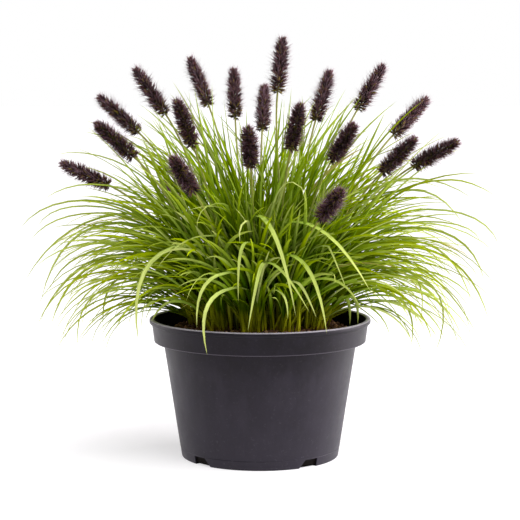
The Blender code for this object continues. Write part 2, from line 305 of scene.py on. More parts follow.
plastic = Finish("charcoal polypropylene")
grain = plastic.clouds(1400, 3, 0.6)
mottle = plastic.clouds(46, 6, 0.7)
dust = plastic.between(plastic.clouds(260, 5, 0.75), 0.58, 0.76)
height = plastic.height()
radius = plastic.radius()
foot_dust = plastic.between(height, 0.0, 50 * MM, 0.5, 0.22)
below_skirt = plastic.between(height, 112 * MM, SKIRT_FOOT + 0.4 * MM, 1.0, 0.0)
charcoal = plastic.mixed(plastic.between(mottle, 0.36, 0.64), paint(2, 2, 4), paint(19, 17, 25))
worn = plastic.clouds(48, 5, 0.65, plastic.stretched(1, 1, 0.4))
worn = plastic.between(worn, 0.42, 0.66, 0.0, 0.6)
charcoal = plastic.mixed(worn * below_skirt, charcoal, paint(38, 35, 43))
# Painted light: below the skirt the wall gets lighter towards the foot, standing in for light
# thrown up from the floor; the skirt, left without it, stays darker as painted shade.
painted_floor_light = plastic.between(height, 20 * MM, 140 * MM, 0.6, 0.12) * below_skirt
charcoal = plastic.mixed(painted_floor_light, charcoal, paint(49, 46, 55))
charcoal = plastic.mixed(dust * foot_dust, charcoal, paint(98, 94, 102))
# Painted highlight: a pale line along the top of the lip.
painted_lip_highlight = plastic.between(height, LIP_TOP - 1.5 * MM, LIP_TOP - 0.3 * MM)
# Painted highlight: a fainter light line along the outer foot of the skirt.
painted_skirt_highlight = plastic.between(height, SKIRT_FOOT + 0.2 * MM, SKIRT_FOOT + 1.6 * MM, 1.0, 0.0)
painted_skirt_highlight = painted_skirt_highlight * plastic.between(radius, 132.2 * MM, 133.2 * MM)
charcoal = plastic.mixed(painted_skirt_highlight * 0.6, charcoal, paint(104, 98, 108))
charcoal = plastic.mixed(painted_lip_highlight * 0.9, charcoal, paint(178, 172, 184))
# Painted shade: the inner wall above the mix and the insides of the drain notches take a
# near-black, peat-coloured coat that hardly reflects.
inside = plastic.between(radius, 133.75 * MM, 134.0 * MM, 1.0, 0.0)
painted_shade = inside * plastic.between(height, 147.6 * MM, 148.6 * MM)
within = plastic.between(radius, 98.2 * MM, 99.0 * MM, 1.0, 0.0)
painted_shade = painted_shade + within * plastic.between(height, 11.5 * MM, 12.5 * MM, 1.0, 0.0)
# Colour of that painted shade coat
peat = plastic.mixed(dust, paint(6, 5, 5), paint(26, 21, 17))
plastic.cover(
    over=plastic.coat(Base_Color=peat, Roughness=0.9, Specular_IOR_Level=0.04),
    share=painted_shade,
    Base_Color=charcoal,
    Roughness=plastic.between(mottle + 0.4 * dust, 0.3, 0.9, 0.38, 0.58),
    Specular_IOR_Level=0.235,
    Specular_Tint=(1.0, 0.9, 1.0, 1.0),
    Normal=plastic.bump(grain, 0.05 * MM, 0.5),
)
pot.data.materials.append(plastic.material)
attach(pot, "root")
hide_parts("pot")

# Potting mix
# Composted bark and peat, pressed in by hand around the root ball. It mounds at the crown
# and falls towards the wall; bark crumbs, chips and wood fibres lie on it.

MIX_RINGS = 44
MIX_SECTORS = 176
# Radius and height of its surface, in mm
MIX_SURFACE = ((0, 166.0), (60, 165.6), (94, 164.6), (108, 161.6), (118.6, 151.0))
MIX_LUMPS = ((0.9, 55), (1.0, 140), (0.8, 330))  # height in mm, and how many to a metre
MIX_WALL = ((118.8, 140.0), (97.3, 2.8))  # radius and height of its side, in mm
CRUMB, CHIP, FIBRE = 0.0, 0.5, 1.0
LITTER = (  # kind, how many, lengths, and how rough their shape is
    (CRUMB, 2600, (0.7 * MM, 3.2 * MM), 0.25),
    (CHIP, 240, (3 * MM, 8 * MM), 0.3),
    (FIBRE, 260, (5 * MM, 16 * MM), 0.2),
)
LITTER_RADIUS = 117 * MM
LITTER_TILT = 0.25  # radians
FIBRE_RADIUS = 0.28 * MM
mix_chance = random.Random(7)


def read_row(x, rows, column=1):
    """Read a column of a table of rows at x, on straight lines between the rows."""
    for low, high in zip(rows, rows[1:]):
        if x <= high[0]:
            share = max(0.0, (x - low[0]) / (high[0] - low[0]))
            return low[column] + share * (high[column] - low[column])
    return rows[-1][column]


def mix_height(x, y):
    """Height of the lumpy surface of the mix."""
    height = read_row(math.hypot(x, y) / MM, MIX_SURFACE)
    for lump, scale in MIX_LUMPS:
        height += lump * noise.noise(Vector((x * scale, y * scale, scale)))
    return height * MM


def on_mix(x, y):
    """Point of the mix's surface."""
    return Vector((x, y, mix_height(x, y)))


def add_mesh(name, points, faces, finish):
    """Put a mesh in the scene as a piece with its finish."""
    mesh = bpy.data.meshes.new(name)
    mesh.from_pydata(points, [], faces)
    mesh.materials.append(finish.material)
    mesh.shade_smooth()
    return add_object(name, mesh)


def add_numbers(piece, **columns):
    """Give each point of a piece the numbers that its finish reads by name."""
    for name, numbers in columns.items():
        piece.data.attributes.new(name, "FLOAT", "POINT").data.foreach_set("value", numbers)


def mix_mesh():
    """Surface of the mix in rings about the crown, closed by its side and underside."""
    points = [on_mix(0, 0)]
    faces = []
    edge = MIX_SURFACE[-1][0] * MM
    for ring in range(1, MIX_RINGS + 1):
        for sector in range(MIX_SECTORS):
            place = heading(360 * sector / MIX_SECTORS, 90) * edge * ring / MIX_RINGS
            points.append(on_mix(place.x, place.y))
    for radius, height in MIX_WALL:
        for sector in range(MIX_SECTORS):
            points.append(heading(360 * sector / MIX_SECTORS, 90) * radius * MM
                          + Vector((0, 0, height * MM)))
    for sector in range(MIX_SECTORS):
        after = (sector + 1) % MIX_SECTORS
        faces.append((0, 1 + sector, 1 + after))
        for ring in range(MIX_RINGS + len(MIX_WALL) - 1):
            near = 1 + ring * MIX_SECTORS
            far = near + MIX_SECTORS
            faces.append((near + sector, far + sector, far + after, near + after))
    last = 1 + (MIX_RINGS + len(MIX_WALL) - 1) * MIX_SECTORS
    faces.append([last + sector for sector in reversed(range(MIX_SECTORS))])
    return points, faces


def scatter_place():
    """Point on the mix, with as many to each bit of its area."""
    radius = LITTER_RADIUS * math.sqrt(mix_chance.random())
    turn = mix_chance.uniform(0, math.tau)
    return on_mix(radius * math.cos(turn), radius * math.sin(turn))


def litter_mesh():
    """Crumbs, chips and fibres as one mesh, with the kind and tone of each."""
    work = bmesh.new()
    kind_layer = work.verts.layers.float.new("kind")
    tone_layer = work.verts.layers.float.new("tone")
    litter = [(kind, mix_chance.uniform(*lengths), rough)
              for kind, count, lengths, rough in LITTER for _ in range(count)]
    for kind, length, rough in litter:
        spin = Matrix.Rotation(mix_chance.uniform(0, math.tau), 4, "Z")
        tilt = Matrix.Rotation(mix_chance.gauss(0, LITTER_TILT), 4, "X")
        if kind == CRUMB:
            stretch = [length * mix_chance.uniform(0.6, 1.2) for _ in range(3)]
        elif kind == CHIP:
            stretch = [length / 2, length / 5, length / 14]
        else:
            stretch = [length / 2, FIBRE_RADIUS, FIBRE_RADIUS]
        tone = mix_chance.random()
        place = scatter_place()
        place.z += stretch[2] / 2
        whole = Matrix.Translation(place) @ spin @ tilt @ Matrix.Diagonal((*stretch, 1))
        for vert in bmesh.ops.create_icosphere(work, subdivisions=1, radius=1)["verts"]:
            vert.co *= 1 + mix_chance.uniform(-rough, rough)
            vert.co = whole @ vert.co
            vert[kind_layer] = kind
            vert[tone_layer] = tone
    return work


def add_earth_finish(name, litter):
    """Moist dark peat with reddish bark, paler where a crumb, chip or fibre is dry."""
    earth = Finish(name)
    damp = earth.clouds(70, 4, 0.6)
    fine = earth.clouds(900, 4, 0.7)
    colour = earth.ramp(
        fine,
        (0.30, paint(40, 27, 20)),
        (0.72, paint(146, 104, 76)),
        (0.50, paint(96, 66, 48)),
    )
    if litter:
        tone = earth.number("tone")
        kind = earth.number("kind")
        bark = earth.ramp(
            tone,
            (0.0, paint(58, 38, 28)),
            (1.0, paint(206, 164, 124)),
            (0.45, paint(112, 78, 60)),
            (0.85, paint(166, 124, 96)),
        )
        straw = earth.mixed(tone, paint(98, 72, 40), paint(176, 150, 104))
        bark = earth.mixed(earth.between(kind, 0.6, 0.9), bark, straw)
        colour = earth.mixed(0.7, colour, bark)
    colour = earth.painted(
        colour,
        (paint(12, 8, 6), damp, 0.35, 0.6, 0.45, 0.0),
        # Painted shade: below 130 mm the mix's side goes near black, as it stands in shade within
        # the pot.
        (paint(3, 2, 2), earth.height(), 100 * MM, 130 * MM, 0.97, 0.0),
    )
    earth.cover(
        Base_Color=colour,
        Roughness=earth.between(damp, 0.35, 0.6, 0.7, 0.95),
        Specular_IOR_Level=0.12,
        Normal=earth.bump(fine, 0.6 * MM, 0.8),
    )
    return earth


mix = add_mesh("potting_mix_bed", *mix_mesh(), add_earth_finish("moist potting mix", False))
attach(mix, "root")
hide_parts("potting_mix")

litter_work = litter_mesh()
litter_data = bpy.data.meshes.new("bark_crumbs")
litter_work.to_mesh(litter_data)
litter_work.free()
litter_data.materials.append(add_earth_finish("bark crumbs and fibres", True).material)
litter = add_object("bark_crumbs", litter_data)
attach(litter, "root")

# Flower stems
# Slender smooth culms, one to a flower spike. Each grows out of the crown and bends
# outwards under the weight of its spike; olive green, browner where it meets the spike.

# Place of the spike's foot in mm, its lean, the azimuth of that lean, and its length in mm
SPIKES = (
    (-192, 20, 342, 68, 161, 72),
    (-152, -90, 383, 55, 226, 72),
    (-158, 80, 407, 50, 163, 73),
    (-120, 30, 432, 37, 156, 73),
    (-80, -100, 397, 40, 247, 71),
    (-68, 120, 442, 32, 131, 74),
    (-33, 140, 425, 27, 95, 74),
    (-11, -130, 374, 49, 267, 70),
    (-77, -170, 347, 55, 248, 70),
    (3, 150, 409, 33, 85, 71),
    (22, 0, 460, 18, 73, 72),
    (37, -90, 392, 39, 284, 70),
    (71, 40, 424, 29, 57, 72),
    (86, -110, 380, 51, 296, 69),
    (71, -170, 316, 60, 290, 69),
    (128, 100, 437, 38, 38, 73),
    (171, 50, 405, 50, 33, 72),
    (148, -80, 364, 53, 310, 70),
    (192, -10, 368, 63, 324, 71),
    (-105, 185, 300, 62, 120, 70),
    (100, 190, 295, 62, 62, 70),
)
STEM_RADIUS = 1.5 * MM
STEM_TOP_SHARE = 0.8
STEM_ROOT_START = 10 * MM
STEM_ROOT_SHARE = 0.30  # how far out a stem is rooted, as a share of how far out its spike is
STEM_LEAN = 12
STEM_HANDLES = (0.4, 0.3)  # of its curve, as shares of the straight way from end to end
STEM_SIDES = 8
STEM_STATIONS = 36


def stem_line(foot, direction):
    """Points along a culm, from the crown to the foot of its spike."""
    azimuth = math.degrees(math.atan2(foot.y, foot.x))
    out = STEM_ROOT_START + STEM_ROOT_SHARE * math.hypot(foot.x, foot.y)
    start = out * heading(azimuth, 90)
    start.z = read_row(out / MM, MIX_SURFACE) * MM
    reach = (foot - start).length
    near = start + STEM_HANDLES[0] * reach * heading(azimuth, STEM_LEAN)
    far = foot - STEM_HANDLES[1] * reach * direction
    line = []
    for station in range(STEM_STATIONS + 1):
        t = station / STEM_STATIONS
        line.append((1 - t) ** 3 * start + 3 * t * (1 - t) ** 2 * near
                    + 3 * t * t * (1 - t) * far + t ** 3 * foot)
    return line


def join_rings(faces, first, rings, sides):
    """Add the faces between rings of points."""
    for ring in range(rings - 1):
        low = first + ring * sides
        for side in range(sides):
            after = (side + 1) % sides
            faces.append((low + side, low + after, low + sides + after, low + sides + side))


def add_tube(points, faces, line, radii, sides):
    """Add a closed tube along a line to lists of points and faces."""
    first = len(points)
    across = (line[1] - line[0]).orthogonal().normalized()
    for number, (place, radius) in enumerate(zip(line, radii)):
        ahead = line[min(number + 1, len(line) - 1)] - line[max(number - 1, 0)]
        ahead.normalize()
        across = (across - across.dot(ahead) * ahead).normalized()
        up = ahead.cross(across)
        for side in range(sides):
            turn = math.tau * side / sides
            points.append(place + radius * (across * math.cos(turn) + up * math.sin(turn)))
    join_rings(faces, first, len(line), sides)
    last = first + (len(line) - 1) * sides
    faces.append([first + side for side in reversed(range(sides))])
    faces.append([last + side for side in range(sides)])


culm = Finish("green culm")
along = culm.number("along")
culm_colour = culm.ramp(
    along,
    (0.0, paint(104, 112, 26)),
    (1.0, paint(126, 124, 40)),
    (0.3, paint(122, 138, 36)),
    (0.8, paint(144, 150, 54)),
)
streaks = culm.clouds(260, 3, 0.6)
culm_colour = culm.painted(culm_colour, (paint(84, 90, 34), streaks, 0.45, 0.75, 0.0, 0.5))
culm.cover(
    Base_Color=culm_colour,
    Roughness=culm.between(streaks, 0.3, 0.7, 0.38, 0.6),
    Normal=culm.bump(streaks, 0.1 * MM, 0.3),
)
for number, (x, y, z, lean, azimuth, length) in enumerate(SPIKES, 1):
    line = stem_line(Vector((x, y, z)) * MM, heading(azimuth, lean))
    radii = [STEM_RADIUS * (1 + i / STEM_STATIONS * (STEM_TOP_SHARE - 1))
             for i in range(STEM_STATIONS + 1)]
    points, faces = [], []
    add_tube(points, faces, line, radii, STEM_SIDES)
    stem = add_mesh(f"stem_{number:02d}", points, faces, culm)
    add_numbers(stem, along=[i // STEM_SIDES / STEM_STATIONS for i in range(len(points))])
    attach(stem, "root")
    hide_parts(f"flower_stem_{number:02d}")

# Flower spikes
# Dense bottlebrush heads, purple-black. Burs stand in a close spiral on a green axis; each
# is a few pointed spikelets in a fan of long stiff bristles that catch the light as a haze.

BURS = 160
BUR_SPIRAL = 137.5  # degrees from one bur to the next
BUR_REACH = 0.94  # share of the axis that carries burs
BUR_TURNS = 6  # degrees by which a bur strays round the axis
BUR_LEANS = 5  # and by which it leans otherwise than its neighbours
AXIS_RADIUS = 1.5 * MM
AXIS_SIDES = 8
# Share of the axis's length, and of its radius
AXIS_TAPER = ((0, 0.7), (0.1, 1.0), (0.3, 1.0), (0.6, 0.8), (0.9, 0.5), (1.0, 0.2))
SPIKELETS_PER_BUR = 5
SPIKELET_LENGTHS = (7.6 * MM, 13.8 * MM)
SPIKELET_WIDTH = 1.6 * MM
SPIKELET_FAN = 8  # degrees about the bur's own lean, for two in three of them
OLIVE_SHARES = ((0, 0.3), (0.3, 0.07))  # share of the length, and of its husks still green
RED_TOP = 0.94  # share of the length above which the husks are at their reddest
TONE_STRAYS = 0.12
BRISTLES_PER_BUR = 4
BRISTLE_FAN = 15
BRISTLE_LENGTHS = (14 * MM, 21 * MM)
BRISTLE_RADIUS = 0.22 * MM
BRISTLE_TAPER = 0.75  # share of its radius that it keeps at its middle
BRISTLE_BEND = 0.25
SPIKELET_KEEL = 0.4
MAP_COLUMNS = 40
# How far along its hair a point lies, as the finish reads it. Husks have 0 to 1.
AXIS_ALONG = -1.0
BRISTLE_ALONGS = (1.2, 1.6, 2.0)
ODD_TONE = 2.0  # of olive husks and dead blades; the others have 0 to 1
# Share of the spike's length, lean of its burs from its axis, and share of their full length
BUR_STANCES = (
    (0.00, 94, 0.70),
    (0.05, 82, 0.84),
    (0.18, 64, 1.00),
    (0.60, 56, 1.00),
    (0.86, 50, 0.84),
    (1.00, 28, 0.56),
)
# Places of the points of a spikelet or a bristle on its own cell of the map, by their number
HAIR_PLACES = {
    8: [(0.5, 0.0)] + [(x, y) for y in (0.35, 0.7) for x in (0, 0.5, 1)] + [(0.5, 1.0)],
    7: [(x, y) for y in (0.0, 0.5) for x in (0, 0.5, 1)] + [(0.5, 1.0)],
}


def in_cell(number, share):
    """Place in a row of numbered cells, each with a margin round what it holds."""
    return number + 0.1 + 0.8 * share


def cell_places(number, places):
    """Places on a square map of numbered cells."""
    row, column = divmod(number, MAP_COLUMNS)
    return [(in_cell(column, x) / MAP_COLUMNS, in_cell(row, y) / MAP_COLUMNS)
            for x, y in places]


def add_map(piece, places):
    """Unfold a piece for its colours to be kept on, from a place for each of its points."""
    unfolded = piece.data.uv_layers.new(name="OFBake")
    corners = [0] * len(piece.data.loops)
    piece.data.loops.foreach_get("vertex_index", corners)
    unfolded.uv.foreach_set("vector", [level for corner in corners for level in places[corner]])


def add_spikelet(points, faces, root, direction, side, length, width):
    """Add a pointed husk that is widest below its middle and curves in at the tip."""
    up = side.cross(direction).normalized()
    first = len(points)
    points.append(root)
    for share, spread in ((0.35, 0.5), (0.7, 0.33)):
        place = root + direction * length * share
        half = width * spread
        under = place - up * half * SPIKELET_KEEL
        points.extend((under + side * half, place + up * half, under - side * half))
    points.append(root + direction * length)
    for corner in range(3):
        after = (corner + 1) % 3
        low, high = first + 1 + corner, first + 4 + corner
        low_after, high_after = first + 1 + after, first + 4 + after
        faces.append((first, low_after, low))
        faces.append((low, low_after, high_after, high))
        faces.append((high, high_after, first + 7))
    return (0.0, *(0.35,) * 3, *(0.7,) * 3, 1.0)


def add_bristle(points, faces, root, direction, bend, length):
    """Add a fine stiff hair that curves a little and runs out to a point."""
    first = len(points)
    side = direction.orthogonal().normalized()
    up = direction.cross(side)
    middle = root + direction * length * 0.5
    for place, radius in ((root, BRISTLE_RADIUS), (middle, BRISTLE_RADIUS * BRISTLE_TAPER)):
        for turn in (0, 120, 240):
            angle = math.radians(turn)
            points.append(place + radius * (side * math.cos(angle) + up * math.sin(angle)))
    points.append(middle + (direction + bend).normalized() * length * 0.5)
    faces.append((first + 2, first + 1, first))
    for corner in range(3):
        after = (corner + 1) % 3
        low, high = first + corner, first + 3 + corner
        faces.append((low, first + after, first + 3 + after, high))
        faces.append((high, first + 3 + after, first + 6))
    low, middle, high = BRISTLE_ALONGS
    return (low,) * 3 + (middle,) * 3 + (high,)


def spike_mesh(foot, direction, length, chance):
    """Axis, burs and bristles of one spike, with how far along its hair each point lies."""
    points, faces, alongs, tones, maps = [], [], [], [], []
    side = direction.orthogonal().normalized()
    stations = [foot + direction * length * share for share, _ in AXIS_TAPER]
    radii = [AXIS_RADIUS * share for _, share in AXIS_TAPER]
    add_tube(points, faces, stations, radii, AXIS_SIDES)
    alongs.extend([AXIS_ALONG] * len(points))
    tones.extend([0.5] * len(points))
    maps.extend(cell_places(0, [(i % AXIS_SIDES / (AXIS_SIDES - 1),
                                 i // AXIS_SIDES / (len(AXIS_TAPER) - 1))
                                for i in range(len(points))]))
    turn = chance.uniform(0, 360)
    for bur in range(BURS):
        share = (bur + chance.uniform(0.2, 0.8)) / BURS
        turn += BUR_SPIRAL + chance.gauss(0, BUR_TURNS)
        lean = read_row(share, BUR_STANCES) + chance.gauss(0, BUR_LEANS)
        size = read_row(share, BUR_STANCES, 2)
        outward = Matrix.Rotation(math.radians(turn), 3, direction) @ side
        across = direction.cross(outward)
        root = foot + direction * length * share * BUR_REACH + outward * AXIS_RADIUS * 0.5
        way = direction * math.cos(math.radians(lean)) + outward * math.sin(math.radians(lean))
        tone = chance.random()
        for hair in range(SPIKELETS_PER_BUR + BRISTLES_PER_BUR):
            thin = hair >= SPIKELETS_PER_BUR
            fan = BRISTLE_FAN if thin else SPIKELET_FAN
            aim = (way + across * math.tan(math.radians(chance.gauss(0, fan)))
                   + direction * math.tan(math.radians(chance.gauss(0, fan)))).normalized()
            if thin:
                long = chance.uniform(*BRISTLE_LENGTHS) * size
                made = add_bristle(points, faces, root, aim, direction * BRISTLE_BEND, long)
            else:
                long = chance.uniform(*SPIKELET_LENGTHS) * size
                broad = across - across.dot(aim) * aim
                made = add_spikelet(points, faces, root, aim, broad.normalized(), long,
                                    SPIKELET_WIDTH * chance.uniform(0.8, 1.15))
            alongs.extend(made)
            own_tone = min(1.0, max(0.0, tone + chance.gauss(0, TONE_STRAYS)))
            if share > RED_TOP:
                own_tone = 1.0
            if not thin and chance.random() < read_row(share, OLIVE_SHARES):
                own_tone = ODD_TONE
            tones.extend([own_tone] * len(made))
            maps.extend(cell_places(bur * (SPIKELETS_PER_BUR + BRISTLES_PER_BUR) + hair + 1,
                                    HAIR_PLACES[len(made)]))
    return points, faces, alongs, tones, maps


husk = Finish("purple black husks")
along = husk.number("along")
tone = husk.number("tone")
husk_dark = husk.mixed(tone, paint(17, 8, 8), paint(58, 33, 33))
husk_tip = husk.mixed(tone, paint(40, 22, 22), paint(124, 78, 77))
olive = husk.mixed(along, paint(132, 124, 30), paint(122, 100, 48))
hair_dark = husk.mixed(tone, paint(30, 17, 18), paint(62, 40, 43))
hair_pale = husk.mixed(tone, paint(98, 72, 82), paint(158, 128, 141))
hair_colour = husk.mixed(husk.between(along, 1.35, 1.85), hair_dark, hair_pale)
husk_colour = husk.painted(
    husk_dark,
    (paint(92, 80, 20), along, 0.0, 0.5, 1.0, 0.0),
    (husk_tip, along, 0.55, 1.0, 0.0, 0.75),
    (olive, tone, 1.4, 1.6),
    (hair_colour, along, 1.05, 1.15),
    (paint(104, 100, 44), along, -0.5, -0.1, 1.0, 0.0),
)
husk.cover(
    Base_Color=husk_colour,
    Roughness=husk.between(tone, 0.0, 1.0, 0.55, 0.8),
    Specular_IOR_Level=0.15,
)
for number, (x, y, z, lean, azimuth, length) in enumerate(SPIKES, 1):
    chance = random.Random(100 + number)
    foot, direction = Vector((x, y, z)) * MM, heading(azimuth, lean)
    points, faces, alongs, tones, places = spike_mesh(foot, direction, length * MM, chance)
    spike = add_mesh(f"spike_{number:02d}", points, faces, husk)
    add_numbers(spike, along=alongs, tone=tones)
    add_map(spike, places)
    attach(spike, "root")
    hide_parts(f"flower_spike_{number:02d}")

# Leaves
# Each shoot of the clump is a fountain of narrow arching blades, keeled along the middle,
# bright green with paler tips and brownish sheaths. Bases crowd together on the mix.

# How many shoots stand on each ring, how many steps round its first one stands, the ring's
# radius, the lean of its blades at the root, how far they fan out, and the blades of a shoot
SHOOT_RINGS = (
    (1, 1.0, 0 * MM, (0, 20), 180, 160),
    (5, 0.5, 37 * MM, (1, 34), 85, 155),
    (10, 1.0, 69 * MM, (6, 60), 48, 58),
)
SHOOT_START = 9
SHOOT_SPREAD = 12 * MM
FAN_STEEP = 1.25  # share of the fan that the steepest blade of a shoot may turn
FAN_CLOSES = 0.5  # and how much less of it the flattest may
LEAN_POWER = 1.1
# Degrees from the front, how far out the leaves reach there in mm, the lowest height of the
# longest of them, and how much higher a leaf of no length would stay
CLUMP_REACH = (
    (0, 228, 190, 200),
    (45, 244, 176, 160),
    (80, 314, 122, 60),
    (120, 304, 130, 60),
    (180, 268, 160, 100),
)
# A fountain of leaves: lean at the root, lean at the tip, and length
FOUNTAIN = (
    (0, 30, 300 * MM),
    (10, 66, 322 * MM),
    (22, 120, 355 * MM),
    (34, 162, 395 * MM),
    (48, 178, 370 * MM),
    (70, 180, 290 * MM),
)
TIP_STRAYS = 13  # degrees
# Least share of the fountain's length, on the steep and on the flat side of a lean
SHORT_SHARES = (0.58, 0.70)
SHORT_LEAN = 24
LONG_SHARE = 1.08
SHORTEST = 0.55  # share of its length that a blade keeps, or else another grows in its place
SHRINKING = 0.95
# Degrees by which a blade turns aside, on the steep and on the flat side of a lean
DRIFTS = (34, 11)
DRIFT_LEAN = 16
BEND_POWERS = (1.0, 1.7)
STIFFEST = 0.8  # power with which a shortened blade bends less; 0 keeps all of its bend
BLADE_STEPS = 15
BLADE_WIDTHS = (2.5 * MM, 4.1 * MM)
STEEP_BREADTH = ((12, 1.1), (28, 1.0))  # lean at the root, and share of that width
STEEP_TAPER = ((12, 5.5), (28, 3.4))  # and power of its taper; a higher one narrows later
LONG_TAPER = 4.8  # and of the blades that are placed one by one
FRONT_BREADTH = ((30, 1.35), (85, 0.9))  # degrees from the front, and share of that width
REACH_SHARES = (0.52, 0.96)  # of the clump's reach that a blade may take up
FRONT_CALM = (28, 75)  # degrees from the front between which blades stand less and less upright
CALM_LEAN = 0.36
CALM_LENGTH = 0.62
TAPER_EASE = 0.9
ROOT_BREADTH = 0.5  # share of its width that a blade has at its root
SWELL_END = 0.45  # share of its length where it has all of its width
BLADE_KEEL = 0.28  # depth of the fold, as a share of the width
KEEL_EDGE = math.radians(70)  # a fold sharper than this isn't smoothed
BLADE_BODY = 0.7 * MM
BLADE_ROLLS = (12, 65)
ROOT_ROLL = 0.4  # share of its roll that a blade has at its root
STEEP_RISE = 0.1  # how far out the handle of its rise stands, as a share of the way to its top
EASY_RISE = 0.3
DEAD_SHARE = 0.006
TONE_POWER = ((15, 1.5), (50, 0.8))  # lean at the root, and power of a tone; a higher one darkens
CLEAR_SPIKES = SPIKES[:19]  # the last two stand behind the leaves
SPIKE_ROOM = 9 * MM  # grown blades stay this far from its axis, as seen from the front
SPIKE_START = 0.1  # share of its length from which they do so
SPIKE_BELOW = 20 * MM  # but so far below its foot, or so far behind it, they are free
SPIKE_BEHIND = 10 * MM
FORE_SPIKES = [spike for spike in SPIKES if spike[1] == -170]  # the two foremost
STEM_SHOWN = 48 * MM  # no grown blade crosses before so much of their stems
TRIES = 12
RIM_PLACE = (122 * MM, 146 * MM, 181 * MM)  # a blade stays above this height between these radii


def from_front(azimuth):
    """Degrees between an azimuth and the front."""
    return abs((azimuth + 270) % 360 - 180)


def bending_line(start, azimuth, leans, length, drift, power):
    """Points of a blade that leans further and further over from its root to its tip."""
    line = [start]
    for step in range(BLADE_STEPS):
        share = (step + 0.5) / BLADE_STEPS
        lean = leans[0] + (leans[1] - leans[0]) * share ** power
        line.append(line[-1] + heading(azimuth + drift * share, lean) * length / BLADE_STEPS)
    return line


def arched_line(root, top, tip, bulge, ease):
    """Points of a blade that rises to the top of its arch and hangs from there to its tip."""
    rise = Vector((root.x + ease * (top.x - root.x), root.y + ease * (top.y - root.y), top.z))
    fall = Vector((top.x + bulge * (tip.x - top.x), top.y + bulge * (tip.y - top.y), top.z))
    up, down = (rise - root).length, (tip - top).length
    rising = round(BLADE_STEPS * up / (up + down))
    line = []
    for first, handle, last, steps in ((root, rise, top, rising),
                                       (top, fall, tip, BLADE_STEPS - rising)):
        for step in range(steps):
            line.append(curve(first, handle, last, step / steps))
    return line + [tip]


class Blade:
    """One leaf: its line, how it rolls, and how wide and how green it is."""

    def __init__(self, line, roll, width, tone, taper):
        self.line = line
        self.roll = roll
        self.width = width
        self.tone = tone
        self.taper = taper
        reach = line[-1] - line[0]
        self.side = Vector((-reach.y, reach.x, 0)).normalized()

    def has_room(self, share):
        """Whether it stays within a share of the clump's reach and clear of the pot's rim."""
        for place in self.line:
            out = math.hypot(place.x, place.y)
            bearing = from_front(math.degrees(math.atan2(place.y, place.x)))
            if out > read_row(bearing, CLUMP_REACH) * MM * share:
                return False
            lowest = read_row(bearing, CLUMP_REACH, 2)
            lowest += (1 - share) * read_row(bearing, CLUMP_REACH, 3)
            if place.z < lowest * MM and out > RIM_PLACE[0]:
                return False
            if RIM_PLACE[0] < out < RIM_PLACE[1] and place.z < RIM_PLACE[2]:
                return False
        return True

    def fouls_spike(self):
        """Whether it passes close to a flower spike, or before it or a foremost stem."""
        for x, y, z, lean, azimuth, length in CLEAR_SPIKES:
            foot = Vector((x, y, z)) * MM
            axis = heading(azimuth, lean) * length * MM
            flat_square = axis.x ** 2 + axis.z ** 2
            for place in self.line:
                away = place - foot
                if away.z < -SPIKE_BELOW or away.y > SPIKE_BEHIND:
                    continue
                share = (away.x * axis.x + away.z * axis.z) / flat_square
                away -= axis * min(1.0, max(SPIKE_START, share))
                if math.hypot(away.x, away.z) < SPIKE_ROOM:
                    return True
        return self.hides_stem()

    def hides_stem(self):
        """Whether it crosses before the top of one of the two foremost stems."""
        for x, y, z, lean, azimuth, _ in FORE_SPIKES:
            foot = Vector((x, y, z)) * MM
            low = foot - heading(azimuth, lean) * STEM_SHOWN
            for here, there in zip(self.line, self.line[1:]):
                ends = [Vector((place.x, place.z)) for place in (here, there, foot, low)]
                if here.y < foot.y + STEM_SHOWN / 2 and intersect_line_line_2d(*ends):
                    return True
        return False

    def add_to(self, points, faces, alongs, acrosses, tones, maps, number, count):
        """Add the blade, a number of so many, as a thin closed solid folded along its keel."""
        first = len(points)
        for step, place in enumerate(self.line[:-1]):
            share = step / BLADE_STEPS
            ahead = (self.line[step + 1] - self.line[max(0, step - 1)]).normalized()
            turn = Matrix.Rotation(math.radians(self.roll * (ROOT_ROLL + share)), 3, ahead)
            side = turn @ self.side
            side = (side - side.dot(ahead) * ahead).normalized()
            up = ahead.cross(side)
            swell = (1 - ROOT_BREADTH) * math.sin(math.pi / 2 * min(1.0, share / SWELL_END))
            half = self.width / 2 * (ROOT_BREADTH + swell) * (1 - share ** self.taper) ** TAPER_EASE
            keel = up * self.width * BLADE_KEEL * (1 - share ** 3)
            body = up * BLADE_BODY / 2
            points.extend((place + side * half, place - keel + body,
                           place - side * half, place - keel - body))
            alongs.extend([share] * 4)
            acrosses.extend((0, 0.5, 1, 0.5))
            maps.extend((in_cell(number, x) / count, share) for x in (0, 0.5, 1, 0.5))
        points.append(self.line[-1])
        alongs.append(1.0)
        acrosses.append(0.5)
        maps.append(((number + 0.5) / count, 1.0))
        tones.extend([self.tone] * (len(points) - first))
        last = len(points) - 1
        join_rings(faces, first, BLADE_STEPS, 4)
        for corner in range(4):
            faces.append((last - 4 + corner, last - 4 + (corner + 1) % 4, last))
        faces.append((first + 3, first + 2, first + 1, first))


